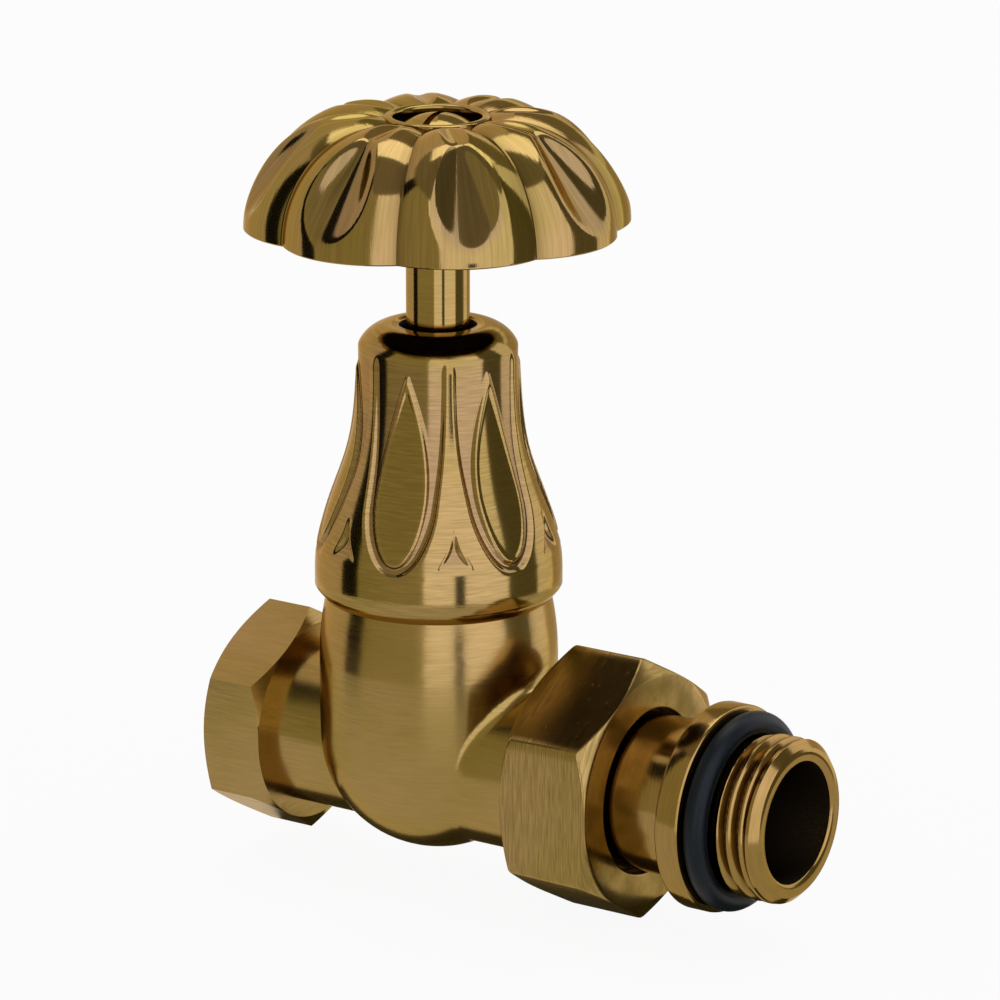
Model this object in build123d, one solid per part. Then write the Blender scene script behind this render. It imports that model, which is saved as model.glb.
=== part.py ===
"""Straight radiator valve with a carved bell cover, a lobed handwheel and a union tail.

Millimetres. The origin is the centre of the inlet socket's mouth, +X runs along the pipe to the
outlet and +Z runs up along the stem. Threads are plain cylinders at their working radius.
"""
import os
from math import cos, pi, radians, sin, sqrt, tan

from build123d import *

# Fits
running_clearance = 0.05      # radial play of a thread or a shaft in its hole
seat_gap = 0.05               # play left between faces that close on each other
seal_gap = 0.02               # play left round a sealing ring
side_gap = 0.3                # room left beside a piece that moves
cut_overrun = 1.5             # how far a cutter runs past the surface that it cuts

# Inlet
inlet_length = 28.1           # socket mouth to stem axis
inlet_hex_across = 26.0
inlet_hex_length = 8.8
inlet_wall = 1.4              # round the socket, behind the hexagon
socket_radius = 9.316         # G 1/2 female, at its minor radius
socket_depth = 10.5
socket_chamfer = 0.5
passage_radius = 7.0
hex_chamfer_angle = 30.0

# Body
bulb_radius = 15.27
bulb_depth = 12.9             # pipe axis to the bulb's lowest point
bulb_straight = 12.5          # pipe axis to the end of the bulb's straight side
body_top = 20.5               # pipe axis to the top face
body_shoulder = 0.87          # how far the top draws in from the straight side
chamber_radius = 11.4
chamber_top = 11.0            # pipe axis to the top of the wide part of the chamber
plate_half = 1.5              # half the thickness of the partition that carries the seat
partition_wall = 2.0
sump_drop = 1.0               # floor under the seat, below the passage
seat_radius = 6.0
seat_lip = 1.0
seat_lip_width = 1.4
headwork_thread_radius = 10.0

# Union on the outlet side
outlet_neck_radius = 11.0
outlet_neck_fillet = 2.0
spigot_start = 21.0           # stem axis to the start of the union thread
spigot_length = 7.05
spigot_radius = 13.22         # G 3/4 male
spigot_wall = 3.17            # round the tail's nose
nose_length = 3.8
nut_side_wall = 1.73          # thread to the middle of a flat
nut_length = 12.9
nut_wall = 2.6
nut_hole_gap = 0.6            # round the tail's neck
retainer_thickness = 1.6
retainer_bearing = 1.8        # how far the nut's wall bears on the ring
retainer_groove_depth = 1.1
retainer_split = 1.5
tail_neck_length = 13.55      # spigot face to collar
collar_radius = 13.2
collar_thickness = 3.3
tail_relief_depth = 0.78
oring_play = 0.1              # left beside the sealing ring
tail_thread_radius = 10.4775  # G 1/2 male
tail_thread_length = 5.5
tail_end_chamfer = 1.0
tail_wall = 1.2               # under the seal's groove
tail_bore_step = 0.9          # the bore's mouth is this much wider
tail_bore_depth = 12.0
tail_oring_section = 1.5
seal_section = 1.0
seal_groove_play = 0.4

# Headwork
gasket_thickness = 1.0
bonnet_hex_across = 22.0
bonnet_hex_height = 6.0
stuffing_radius = 6.5
stuffing_rise = 1.0           # hexagon to the floor under the packing
barrel_wall = 1.5
packing_washer_thickness = 1.0
packing_ring_height = 2.4
packing_ring_count = 3
gland_thread_length = 9.3
gland_head_across = 12.0
gland_head_height = 4.0

# Spindle and disc
lift = 6.0                    # open height of the disc over its seat
stem_radius = 4.04
spindle_thread_radius = 5.0
spindle_stop_gap = 0.6        # thread shoulder to packing washer when open
journal_radius = 3.0
journal_floor = 0.6           # journal's end into the disc's plate
square_across = 5.6
disc_rim = 0.4                # disc past its washer
disc_thickness = 1.6
disc_hub_radius = 5.5
disc_hub_height = 3.2
disc_stud_radius = 2.15
disc_stud_end = 0.4
seat_washer_overlap = 0.5     # washer past the seat's lip
seat_washer_thickness = 2.0
disc_nut_across = 7.0
disc_nut_height = 2.2
clip_thickness = 0.8
clip_depth = 0.7              # how far the clip reaches into journal and hub
clip_split = 2.0

# Bell cover
bell_headroom = 1.2           # over the gland nut
bell_roof = 4.5
bell_hole_gap = 0.86          # round the stem
bell_shoulder_radius = 4.4
bell_neck_radius = 10.5
bell_waist_radius = 11.7
bell_waist_height = 19.4      # heights here are above the body's top face
bell_flare_radius = 13.9
bell_flare_height = 13.0
bell_skirt_radius = 15.8
bell_skirt_height = 3.5
bell_edge_rise = 1.5
bell_cavity_gap = 0.6         # round the bonnet's hexagon
bell_bore_start = 17.5
panel_count = 6
panel_turn = -17.0            # polar angle of one panel's middle
panel_width = 9.3
panel_straight_end = 14.3
panel_bottom = 6.4
panel_depth = 0.6
panel_depth_top = 0.38        # at the neck, where the panels run out over the shoulder
leaf_width = 7.0
leaf_drop = 4.5               # bell top to leaf tip
leaf_widest = 15.5
leaf_bottom = 7.4
dart_width = 5.4
dart_top = 12.0
dart_bottom = 6.8
dart_sag = 0.6                # how far the dart's sides curve in

# Handwheel
wheel_gap = 12.85             # bell top to wheel rim when open
crest_radius = 10.1           # stem axis to the crest of the dome
dome_radius = 14.45           # crest to the rim, across and down
wheel_wall = 3.8
lobe_count = 8
lobe_depth = 1.8              # depth of the cleft between two lobes at the rim
lobe_depth_top = 1.0          # and at the crest
dish_depth = 0.6
hub_radius = 7.0
hub_boss_radius = 6.6
hub_boss_rise = 1.8           # rim to the hub's lower face
bead_land = 0.6               # recess to the middle of the bead
bead_section = 0.7
bead_drop = 0.9               # crest to the bead's centre
gouge_top_angle = 74.0        # angles round the dome, up from the rim
gouge_end_angle = 7.5
gouge_top_radius = 0.4
gouge_end_radius = 10.5
flute_start_radius = 7.4
flute_end_angle = 66.0
flute_radius = 1.7
recess_depth = 3.3
recess_gap = 1.3              # round the screw's head
screw_shank_radius = 2.0
screw_length = 10.8
screw_head_radius = 4.3
screw_head_height = 2.3
screw_dome = 1.3
screw_slot_width = 0.9
screw_slot_depth = 1.1
screw_slot_turn = 100.0
wheel_washer_thickness = 0.8
wheel_washer_radius = 4.0
wheel_washer_split = 0.8
square_headroom = 0.5
screw_floor = 1.5             # metal between the square hole and the screw's washer

# Places along the stem, above the pipe axis
sump_depth = passage_radius + sump_drop
seat_top = plate_half + seat_lip
washer_low = seat_top + lift + seat_gap
disc_low = washer_low + seat_washer_thickness
disc_top = disc_low + disc_thickness
disc_hub_top = disc_top + disc_hub_height
bonnet_low = disc_top + side_gap
flange_low = body_top + gasket_thickness
flange_top = flange_low + bonnet_hex_height
stuffing_floor = flange_top + stuffing_rise
packing_low = stuffing_floor + packing_washer_thickness
packing_top = packing_low + packing_ring_count * packing_ring_height
shoulder_height = stuffing_floor - spindle_stop_gap
bonnet_barrel_top = packing_top + gland_thread_length
gland_head_low = bonnet_barrel_top + side_gap
gland_top = gland_head_low + gland_head_height
bell_bore_end = gland_top + bell_headroom
bell_top = bell_bore_end + bell_roof
bell_height = bell_top - body_top
bell_shoulder_low = bell_height - bell_shoulder_radius
wheel_rim = bell_top + wheel_gap
wheel_crest = wheel_rim + dome_radius
hub_low = wheel_rim + hub_boss_rise
recess_floor = wheel_crest - recess_depth
square_hole_top = recess_floor - screw_floor
square_top = square_hole_top - square_headroom
screw_seat = recess_floor + wheel_washer_thickness

# Radii round the stem
body_top_radius = bulb_radius - body_shoulder
seat_washer_radius = seat_radius + seat_lip_width + seat_washer_overlap
disc_radius = seat_washer_radius + disc_rim
bonnet_barrel_radius = stuffing_radius + barrel_wall
bell_cavity_radius = bonnet_hex_across / sqrt(3) + bell_cavity_gap
bell_hole_radius = stem_radius + bell_hole_gap
screw_recess_radius = screw_head_radius + recess_gap
bead_radius = screw_recess_radius + bead_land

# Radii round the pipe
tail_neck_radius = spigot_radius - spigot_wall - running_clearance
nut_across = 2 * (spigot_radius + running_clearance + nut_side_wall)
nut_hole_radius = tail_neck_radius + nut_hole_gap
retainer_radius = nut_hole_radius + retainer_bearing
seal_groove_root = tail_neck_radius + running_clearance - 2 * seal_section - 2 * seal_gap
tail_inner_radius = seal_groove_root - tail_wall
tail_bore_radius = tail_inner_radius + tail_bore_step
tail_relief_radius = tail_thread_radius - tail_relief_depth

# Places along the pipe, from the inlet mouth
stem_x = inlet_length
inlet_neck_radius = socket_radius + inlet_wall
spigot_x = stem_x + spigot_start
spigot_end = spigot_x + spigot_length
nose_x = spigot_end - nose_length
nose_socket_x = nose_x - side_gap
retainer_x = spigot_end + side_gap
nut_front = retainer_x + retainer_thickness + seat_gap + nut_wall
nut_back = nut_front - nut_length
collar_x = spigot_end + tail_neck_length
collar_front = collar_x + collar_thickness
tail_thread_x = collar_front + 2 * tail_oring_section + oring_play
tail_end = tail_thread_x + tail_thread_length + tail_end_chamfer


def on_stem(shape):
    """Stand a shape that was made round Z on the stem axis."""
    return Pos(stem_x, 0, 0) * shape


def stem_turning(*points):
    """Turn a profile of (radius, height) points round the stem axis."""
    profile = Plane.XZ * make_face(Polyline(*points, close=True))
    return on_stem(revolve(profile, Axis.Z))


def pipe_turning(*points):
    """Turn a profile of (place along the pipe, radius) points round the pipe axis."""
    return revolve(make_face(Polyline(*points, close=True)), Axis.X)


def stem_ring(outer, inner, low, high):
    """A plain ring or sleeve round the stem axis."""
    return stem_turning((inner, low), (outer, low), (outer, high), (inner, high))


def pipe_cylinder(radius, start, end):
    """A plain cylinder along the pipe axis."""
    return pipe_turning((start, 0), (start, radius), (end, radius), (end, 0))


def stem_hexagon(across, low, high):
    """A hexagon prism on the stem axis."""
    outline = Plane.XY.offset(low) * RegularPolygon(across / 2, 6, major_radius=False)
    return on_stem(extrude(outline, high - low))


def pipe_hexagon(across, start, end):
    """A hexagon along the pipe, a corner up, with both ends turned down to a cone."""
    outline = Plane.YZ.offset(start) * RegularPolygon(across / 2, 6, major_radius=False, rotation=30)
    flat = across / 2
    corner = across / sqrt(3) + cut_overrun
    run = (corner - flat) * tan(radians(hex_chamfer_angle))
    cones = pipe_turning(
        (start, 0), (start, flat), (start + run, corner), (end - run, corner), (end, flat), (end, 0)
    )
    return extrude(outline, end - start) & cones


def make_body():
    """Forged body: inlet hexagon, bulb, partition with the seat, and the union spigot."""
    equator = bulb_radius - bulb_depth
    bulb_outline = [
        Line((0, body_top), (0, -bulb_depth)),
        ThreePointArc(
            (0, -bulb_depth),
            (bulb_radius * cos(pi / 4), equator - bulb_radius * sin(pi / 4)),
            (bulb_radius, equator),
        ),
        Line((bulb_radius, equator), (bulb_radius, bulb_straight)),
        TangentArc((bulb_radius, bulb_straight), (body_top_radius, body_top), tangent=(0, 1)),
        Line((body_top_radius, body_top), (0, body_top)),
    ]
    bulb = on_stem(revolve(Plane.XZ * make_face(bulb_outline), Axis.Z))

    outlet = bulb + pipe_cylinder(outlet_neck_radius, stem_x, spigot_end)
    joint_edges = outlet.edges().filter_by(GeomType.BSPLINE)
    outlet = fillet(joint_edges, outlet_neck_fillet) + pipe_cylinder(spigot_radius, spigot_x, spigot_end)

    hexagon = pipe_hexagon(inlet_hex_across, 0, inlet_hex_length)
    neck = pipe_cylinder(inlet_neck_radius, inlet_hex_length / 2, stem_x)
    solid = outlet + hexagon + neck

    # Water enters under the partition and leaves over it
    bore = headwork_thread_radius + running_clearance
    floor_radius = chamber_radius - plate_half
    lip = seat_radius + seat_lip_width
    upper_chamber = stem_turning(
        (0, seat_top), (lip, seat_top), (lip, plate_half), (floor_radius, plate_half),
        (chamber_radius, 2 * plate_half), (chamber_radius, chamber_top),
        (bore, chamber_top + chamber_radius - bore), (bore, body_top), (0, body_top),
    )
    lower_chamber = stem_turning(
        (0, -sump_depth), (seat_radius - plate_half, -sump_depth),
        (seat_radius, plate_half - sump_depth), (seat_radius, seat_top), (0, seat_top),
    )
    inlet_end = stem_x - chamber_radius - partition_wall
    under_side = Pos(inlet_end, 0, -plate_half) * Box(
        2 * stem_x, 2 * bulb_radius, bulb_radius, align=(Align.CENTER, Align.CENTER, Align.MAX)
    )
    under_passage = pipe_cylinder(passage_radius, inlet_end, stem_x) & under_side
    inlet_passage = pipe_cylinder(passage_radius, socket_chamfer, inlet_end)
    outlet_passage = pipe_cylinder(passage_radius, stem_x + seat_radius + partition_wall, spigot_end)
    cone_end = socket_depth + socket_radius - passage_radius
    socket = pipe_turning(
        (0, 0), (0, socket_radius + socket_chamfer), (socket_chamfer, socket_radius),
        (socket_depth, socket_radius), (cone_end, passage_radius), (cone_end, 0),
    )
    nose_socket = pipe_cylinder(tail_neck_radius + running_clearance, nose_socket_x, spigot_end)
    waterway = upper_chamber + lower_chamber + under_passage + inlet_passage + outlet_passage
    solid -= waterway + socket + nose_socket
    return solid


def make_bonnet():
    """Headwork: thread into the body, hexagon, and a barrel with the stuffing box."""
    counterbore = disc_hub_radius + side_gap
    counterbore_top = disc_hub_top + side_gap
    spindle_bore = spindle_thread_radius + running_clearance
    shell = stem_turning(
        (counterbore, bonnet_low), (headwork_thread_radius, bonnet_low),
        (headwork_thread_radius, flange_low), (bonnet_barrel_radius, flange_low),
        (bonnet_barrel_radius, bonnet_barrel_top), (stuffing_radius, bonnet_barrel_top),
        (stuffing_radius, stuffing_floor), (spindle_bore, stuffing_floor),
        (spindle_bore, counterbore_top), (counterbore, counterbore_top),
    )
    flange = stem_hexagon(bonnet_hex_across, flange_low, flange_top)
    return shell + (flange - stem_ring(bonnet_barrel_radius, 0, flange_low, flange_top))


def make_packing_rings():
    """The rings of packing, one on another."""
    rings = []
    for index in range(packing_ring_count):
        low = packing_low + index * packing_ring_height
        rings.append(
            stem_ring(
                stuffing_radius - seal_gap, stem_radius + seal_gap, low, low + packing_ring_height
            )
        )
    return Compound(children=rings)


def make_gland_nut():
    """Screwed follower with a hexagon head that presses the packing."""
    thread = stuffing_radius - running_clearance
    follower = stem_ring(thread, 0, packing_top, gland_head_low)
    head = stem_hexagon(gland_head_across, gland_head_low, gland_top)
    bore = stem_ring(stem_radius + running_clearance, 0, packing_top, gland_top)
    return follower + head - bore


def split_ring(ring, radius, gap, height):
    """Open a ring on the stem axis by a gap on its +Y side."""
    return ring - on_stem(Pos(0, radius, height) * Box(gap, 2 * radius, 2 * radius))


def bell_side(depth, depth_top):
    """The bell's outline from its shoulder down to its foot, set in by a depth."""
    skirt = bell_skirt_radius - depth
    foot = body_top_radius - depth
    return [
        Spline(
            (bell_neck_radius - depth_top, bell_shoulder_low),
            (bell_waist_radius - depth, bell_waist_height),
            (bell_flare_radius - depth, bell_flare_height),
            (skirt, bell_skirt_height),
            tangents=[(0, -1), (0, -1)],
        ),
        Line((skirt, bell_skirt_height), (skirt, bell_edge_rise)),
        Line((skirt, bell_edge_rise), (foot, 0)),
        Line((foot, 0), (0, 0)),
    ]


def bell_solid():
    """The bell without its carving and its hollow, standing on the origin."""
    crown = bell_neck_radius - bell_shoulder_radius
    slant = bell_shoulder_radius * cos(pi / 4)
    outline = [
        Line((0, 0), (0, bell_height)),
        Line((0, bell_height), (crown, bell_height)),
        ThreePointArc(
            (crown, bell_height),
            (crown + slant, bell_shoulder_low + slant),
            (bell_neck_radius, bell_shoulder_low),
        ),
        *bell_side(0, 0),
    ]
    return revolve(Plane.XZ * make_face(outline), Axis.Z)


def bell_core():
    """What the panels leave: the bell set in by their depth, with its neck carried straight up."""
    neck = bell_neck_radius - panel_depth_top
    top = bell_height + cut_overrun
    outline = [
        Line((0, 0), (0, top)),
        Line((0, top), (neck, top)),
        Line((neck, top), (neck, bell_shoulder_low)),
        *bell_side(panel_depth, panel_depth_top),
    ]
    return revolve(Plane.XZ * make_face(outline), Axis.Z)


def panel_sketch():
    """A panel's channel, open at the top, with its leaf left standing."""
    half = panel_width / 2
    top = bell_height + cut_overrun
    leaf_top = bell_height - leaf_drop
    channel = make_face([
        Line((-half, top), (half, top)),
        Line((half, top), (half, panel_straight_end)),
        Spline((half, panel_straight_end), (0, panel_bottom), tangents=[(0, -1), (-1, 0)]),
        Spline((0, panel_bottom), (-half, panel_straight_end), tangents=[(-1, 0), (0, 1)]),
        Line((-half, panel_straight_end), (-half, top)),
    ])
    leaf = make_face([
        Spline((0, leaf_top), (leaf_width / 2, leaf_widest), (0, leaf_bottom)),
        Spline((0, leaf_bottom), (-leaf_width / 2, leaf_widest), (0, leaf_top)),
    ])
    return channel - leaf


def dart_sketch():
    """A small triangle with hollow sides that stands under each spear."""
    half = dart_width / 2
    middle = (dart_top + dart_bottom) / 2
    return make_face([
        ThreePointArc((-half, dart_bottom), (dart_sag - half / 2, middle), (0, dart_top)),
        ThreePointArc((0, dart_top), (half / 2 - dart_sag, middle), (half, dart_bottom)),
        Line((half, dart_bottom), (-half, dart_bottom)),
    ])


def make_bell():
    """Carved cover: a turned bell with sunk channels round six leaves, and six darts."""
    reach = 2 * bell_skirt_radius
    core = bell_core()
    panel = extrude(Plane.XZ * panel_sketch(), reach) - core
    dart = extrude(Plane.XZ * dart_sketch(), reach) - core
    step = 360 / panel_count
    turn = panel_turn + 90
    cutters = []
    for index in range(panel_count):
        cutters.append(Rot(0, 0, turn + index * step) * panel)
        cutters.append(Rot(0, 0, turn + (index + 0.5) * step) * dart)
    bell = bell_solid().cut(*cutters)
    bore = bonnet_barrel_radius + running_clearance
    hollow = stem_turning(
        (0, body_top), (bell_cavity_radius, body_top), (bell_cavity_radius, flange_top + side_gap),
        (bore, body_top + bell_bore_start), (bore, bell_bore_end), (bell_hole_radius, bell_bore_end),
        (bell_hole_radius, bell_top), (0, bell_top),
    )
    return on_stem(Pos(0, 0, body_top) * bell) - hollow


def make_spindle():
    """Turned spindle: journal with its clip groove, thread, stem and square end."""
    journal_low = disc_top - journal_floor + seat_gap
    clip_low = disc_top + (disc_hub_height - clip_thickness) / 2
    thread_low = disc_hub_top + side_gap
    shaft = stem_turning(
        (0, journal_low), (journal_radius, journal_low), (journal_radius, thread_low),
        (spindle_thread_radius, thread_low), (spindle_thread_radius, shoulder_height),
        (stem_radius, shoulder_height), (stem_radius, hub_low), (0, hub_low),
    )
    groove = stem_ring(
        spindle_thread_radius, journal_radius - clip_depth - seat_gap, clip_low - seat_gap,
        clip_low + clip_thickness + seat_gap,
    )
    square_end = Plane.XY.offset(hub_low) * Rectangle(square_across, square_across)
    square = on_stem(extrude(square_end, square_top - hub_low))
    tapped = stem_ring(
        screw_shank_radius + running_clearance, 0, screw_seat - screw_length - side_gap, square_top
    )
    return shaft - groove + square - tapped


def make_disc_holder():
    """Valve disc: plate, socket for the spindle's journal, and the stud for the seat washer."""
    stud_low = washer_low - disc_nut_height - disc_stud_end
    bore = journal_radius + running_clearance
    clip_low = disc_top + (disc_hub_height - clip_thickness) / 2
    disc = stem_turning(
        (0, stud_low), (disc_stud_radius, stud_low), (disc_stud_radius, disc_low),
        (disc_radius, disc_low), (disc_radius, disc_top), (disc_hub_radius, disc_top),
        (disc_hub_radius, disc_hub_top), (bore, disc_hub_top), (bore, disc_top - journal_floor),
        (0, disc_top - journal_floor),
    )
    return disc - stem_ring(
        journal_radius + clip_depth + seat_gap, 0, clip_low - seat_gap, clip_low + clip_thickness + seat_gap
    )


def make_disc_clip():
    """C-clip that holds the disc on the journal."""
    low = disc_top + (disc_hub_height - clip_thickness) / 2
    outer = journal_radius + clip_depth
    ring = stem_ring(outer, journal_radius - clip_depth, low, low + clip_thickness)
    return split_ring(ring, outer, clip_split, low)


def make_disc_nut():
    """Small hexagon nut under the seat washer."""
    low = washer_low - disc_nut_height
    bore = stem_ring(disc_stud_radius + running_clearance, 0, low, washer_low)
    return stem_hexagon(disc_nut_across, low, washer_low) - bore


def dome_point(angle, inset):
    """Radius and height on the wheel's dome, at an angle up from the rim."""
    reach = dome_radius - inset
    return crest_radius + reach * cos(radians(angle)), wheel_rim + reach * sin(radians(angle))


def make_lobe():
    """One lobe of the wheel, swelling between two clefts, as a wedge round Z."""
    half = 180 / lobe_count
    sections = []
    for share in (-1, -0.5, 0, 0.5, 1):
        swell = share * share
        outer = []
        for angle in (0, 22.5, 45, 67.5, 90):
            inset = swell * (lobe_depth + (lobe_depth_top - lobe_depth) * angle / 90)
            outer.append(dome_point(angle, inset))
        hub_top = (hub_radius - side_gap, wheel_crest - dish_depth - swell * lobe_depth_top / 2)
        hub_foot = (hub_radius - side_gap, wheel_rim)
        outline = [
            Spline(*outer, hub_top, tangents=[(0, 1), (-1, -0.2)]),
            Line(hub_top, hub_foot),
            Line(hub_foot, outer[0]),
        ]
        sections.append(Rot(0, 0, share * half) * (Plane.XZ * make_face(outline)))
    return loft(sections)


def tapered_cut(start, start_radius, end, end_radius):
    """Cone that touches the line between two (radius, height) points, for a gouge across a dome."""
    first, last = Vector(*start), Vector(*end)
    along = (last - first).normalized()
    outward = Vector(-along.Y, along.X)
    slope = (end_radius - start_radius) / (last - first).length
    first, last = first - along * start_radius, last + along * cut_overrun
    start_center = first + outward * (start_radius - slope * start_radius)
    end_center = last + outward * (end_radius + slope * cut_overrun)
    profile = make_face(Polyline(first, last, end_center, start_center, close=True))
    axis_start = Vector(start_center.X, 0, start_center.Y)
    axis_end = Vector(end_center.X, 0, end_center.Y)
    return revolve(Plane.XZ * profile, Axis(axis_start, axis_end - axis_start))


def make_gouges():
    """Cutters for the middle of one lobe: the drop-shaped gouge and the flute from it to the bead."""
    gouge = tapered_cut(
        dome_point(gouge_top_angle, 0), gouge_top_radius, dome_point(gouge_end_angle, 0), gouge_end_radius
    )
    flute_start = (flute_start_radius, wheel_crest - dish_depth)
    flute = tapered_cut(
        flute_start, flute_radius, dome_point(flute_end_angle, 0), flute_radius + gouge_top_radius
    )
    return gouge, flute


def make_handwheel():
    """Lobed wheel: eight lobes with drop-shaped gouges, hollow below, with a hub for the square."""
    step = 360 / lobe_count
    lobe = make_lobe()
    wheel = revolve(
        Plane.XZ * make_face(Polyline(
            (0, wheel_rim), (hub_radius, wheel_rim), (hub_radius, wheel_crest - dish_depth),
            (0, wheel_crest - dish_depth), close=True,
        )),
        Axis.Z,
    )
    bead = Pos(0, 0, wheel_crest - bead_drop) * Torus(bead_radius, bead_section)
    wheel = wheel.fuse(*[Rot(0, 0, index * step) * lobe for index in range(lobe_count)], bead)
    inner = dome_radius - wheel_wall
    hollow = revolve(
        Plane.XZ * make_face([
            Line((hub_boss_radius, wheel_rim), (crest_radius + inner, wheel_rim)),
            ThreePointArc(
                (crest_radius + inner, wheel_rim),
                (crest_radius + inner * cos(pi / 4), wheel_rim + inner * sin(pi / 4)),
                (crest_radius, wheel_rim + inner),
            ),
            Line((crest_radius, wheel_rim + inner), (hub_boss_radius, wheel_rim + inner)),
            Line((hub_boss_radius, wheel_rim + inner), (hub_boss_radius, wheel_rim)),
        ]),
        Axis.Z,
    )
    hub_trim = revolve(
        Plane.XZ * make_face(Polyline(
            (0, wheel_rim), (hub_boss_radius + side_gap, wheel_rim), (hub_boss_radius + side_gap, hub_low),
            (0, hub_low), close=True,
        )),
        Axis.Z,
    )
    hole_across = square_across + 2 * running_clearance
    square_hole = extrude(
        Plane.XY.offset(hub_low) * Rectangle(hole_across, hole_across), square_hole_top - hub_low
    )
    cutters = [Rot(0, 0, index * step) * cut for index in range(lobe_count) for cut in make_gouges()]
    wheel = wheel.cut(hollow, hub_trim, square_hole, *cutters)
    screw_hole = stem_turning(
        (0, square_hole_top), (screw_shank_radius + side_gap, square_hole_top),
        (screw_shank_radius + side_gap, recess_floor), (screw_recess_radius, recess_floor),
        (screw_recess_radius, wheel_crest), (0, wheel_crest),
    )
    return on_stem(wheel) - screw_hole


def make_wheel_screw():
    """Slotted screw with a domed head."""
    head_top = screw_seat + screw_head_height
    outline = [
        Line((0, head_top), (0, screw_seat - screw_length)),
        Line((0, screw_seat - screw_length), (screw_shank_radius, screw_seat - screw_length)),
        Line((screw_shank_radius, screw_seat - screw_length), (screw_shank_radius, screw_seat)),
        Line((screw_shank_radius, screw_seat), (screw_head_radius, screw_seat)),
        Line((screw_head_radius, screw_seat), (screw_head_radius, head_top - screw_dome)),
        TangentArc((0, head_top), (screw_head_radius, head_top - screw_dome), tangent=(1, 0)),
    ]
    screw = revolve(Plane.XZ * make_face(outline), Axis.Z)
    slot = Pos(0, 0, head_top) * Rot(0, 0, screw_slot_turn) * Box(
        2 * screw_recess_radius, screw_slot_width, 2 * screw_slot_depth
    )
    return on_stem(screw - slot)


def make_wheel_washer():
    """Split lock washer under the screw's head."""
    ring = stem_ring(wheel_washer_radius, screw_shank_radius + running_clearance, recess_floor, screw_seat)
    return split_ring(ring, wheel_washer_radius, wheel_washer_split, recess_floor)


def make_union_nut():
    """Hexagon union nut with a front wall that bears on the retaining ring."""
    nut = pipe_hexagon(nut_across, nut_back, nut_front)
    thread = spigot_radius + running_clearance
    nut -= pipe_cylinder(thread, nut_back, nut_front - nut_wall)
    return nut - pipe_cylinder(nut_hole_radius, nut_back, nut_front)


def make_union_tail():
    """Union tail: grooved nose, neck, collar, relief for the sealing ring, and the thread."""
    groove_width = 2 * seal_section + seal_groove_play
    seal_start = nose_x + (nose_length - groove_width) / 2
    retainer_root = tail_neck_radius - retainer_groove_depth
    retainer_start = retainer_x - seat_gap
    retainer_stop = retainer_x + retainer_thickness + seat_gap
    thread_end = tail_thread_x + tail_thread_length
    step_x = tail_end - tail_bore_depth
    return pipe_turning(
        (nose_x, tail_inner_radius), (nose_x, tail_neck_radius), (seal_start, tail_neck_radius),
        (seal_start, seal_groove_root), (seal_start + groove_width, seal_groove_root),
        (seal_start + groove_width, tail_neck_radius), (retainer_start, tail_neck_radius),
        (retainer_start, retainer_root), (retainer_stop, retainer_root),
        (retainer_stop, tail_neck_radius), (collar_x, tail_neck_radius), (collar_x, collar_radius),
        (collar_front, collar_radius), (collar_front, tail_relief_radius),
        (tail_thread_x, tail_relief_radius), (tail_thread_x, tail_thread_radius),
        (thread_end, tail_thread_radius), (tail_end, tail_thread_radius - tail_end_chamfer),
        (tail_end, tail_bore_radius), (step_x, tail_bore_radius),
        (step_x - tail_bore_radius + tail_inner_radius, tail_inner_radius),
    )


def pipe_torus(radius, section, place):
    """A round sealing ring on the pipe axis."""
    return Pos(place, 0, 0) * Rot(0, 90, 0) * Torus(radius, section)


def make_tail_oring():
    """Sealing ring that sits on the relief against the collar."""
    radius = tail_relief_radius + tail_oring_section + seal_gap
    return pipe_torus(radius, tail_oring_section, collar_front + tail_oring_section + seal_gap)


def make_union_seal():
    """Sealing ring in the groove of the tail's nose."""
    radius = tail_neck_radius + running_clearance - seal_section - seal_gap
    return pipe_torus(radius, seal_section, nose_x + nose_length / 2)


def make_retaining_ring():
    """Split ring in the tail's groove that holds the nut on."""
    inner = tail_neck_radius - retainer_groove_depth + seat_gap
    end = retainer_x + retainer_thickness
    ring = pipe_turning(
        (retainer_x, inner), (retainer_x, retainer_radius), (end, retainer_radius), (end, inner)
    )
    middle = retainer_x + retainer_thickness / 2
    gap = Box(2 * retainer_thickness, retainer_split, 2 * retainer_radius)
    return ring - Pos(middle, 0, retainer_radius) * gap


def make_parts():
    """Every piece of the valve, by name."""
    return {
        "valve_body": make_body(),
        "bonnet": make_bonnet(),
        "bonnet_gasket": stem_ring(
            bonnet_hex_across / 2, headwork_thread_radius + running_clearance, body_top, flange_low
        ),
        "packing_washer": stem_ring(
            stuffing_radius - running_clearance, stem_radius + running_clearance, stuffing_floor, packing_low
        ),
        "packing_rings": make_packing_rings(),
        "gland_nut": make_gland_nut(),
        "bell_cover": make_bell(),
        "spindle": make_spindle(),
        "handwheel": make_handwheel(),
        "wheel_screw": make_wheel_screw(),
        "wheel_washer": make_wheel_washer(),
        "disc_holder": make_disc_holder(),
        "seat_washer": stem_ring(
            seat_washer_radius, disc_stud_radius + running_clearance, washer_low, disc_low
        ),
        "disc_nut": make_disc_nut(),
        "disc_clip": make_disc_clip(),
        "union_nut": make_union_nut(),
        "union_tail": make_union_tail(),
        "tail_oring": make_tail_oring(),
        "nut_retaining_ring": make_retaining_ring(),
        "union_seal": make_union_seal(),
    }


os.makedirs("parts", exist_ok=True)
for node, solid in make_parts().items():
    export_step(solid, f"parts/{node}.step")
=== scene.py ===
"""Looks of a straight radiator valve in antique brushed brass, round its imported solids."""
from math import cos, pi, radians, sin, tan

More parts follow.
